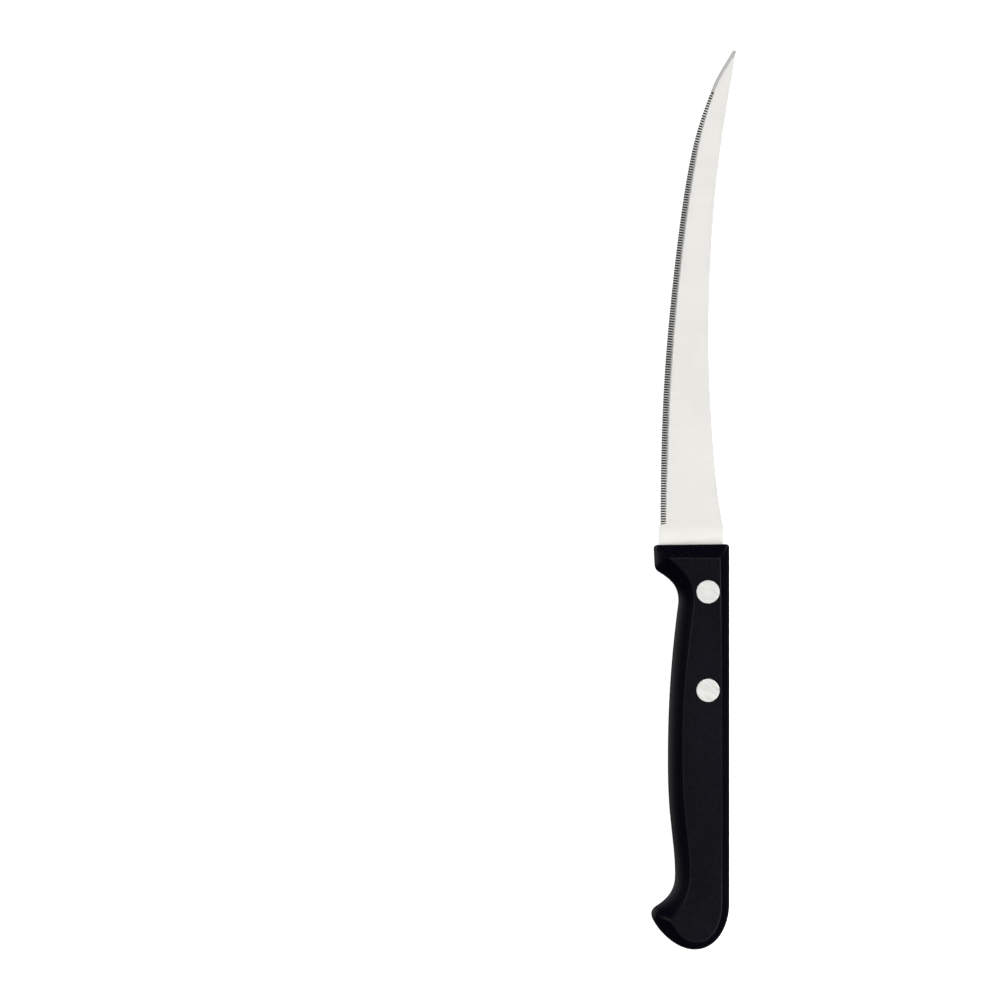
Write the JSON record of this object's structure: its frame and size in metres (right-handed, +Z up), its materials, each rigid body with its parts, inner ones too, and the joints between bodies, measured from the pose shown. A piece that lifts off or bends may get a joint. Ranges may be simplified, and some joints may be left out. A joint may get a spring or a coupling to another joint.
{
  "type": "tomato knife",
  "caption": "Slim up-swept kitchen knife with a micro-serrated edge and a riveted black moulded handle, for slicing tomatoes and other soft fruit.",
  "frame": {"origin": "on the table, under the middle of the bounding box, with the knife lying on its side", "axes": "+Y from the butt of the handle to the point of the blade, +X from the cutting edge to the spine, +Z up, out of the side that carries the serration"},
  "size_m": [0.0218, 0.2314, 0.013],
  "materials": {
    "blade_steel": "satin ground stainless steel",
    "handle_plastic": "black, satin moulded",
    "rivet_metal": "flat heads with a fine straight brushing"
  },
  "bodies": {
    "root": {"blade": "blade_steel", "near_scale": "handle_plastic", "far_scale": "handle_plastic", "front_rivet_pin": "rivet_metal", "front_rivet_sleeve": "rivet_metal", "rear_rivet_pin": "rivet_metal", "rear_rivet_sleeve": "rivet_metal"}
  },
  "joints": []
}
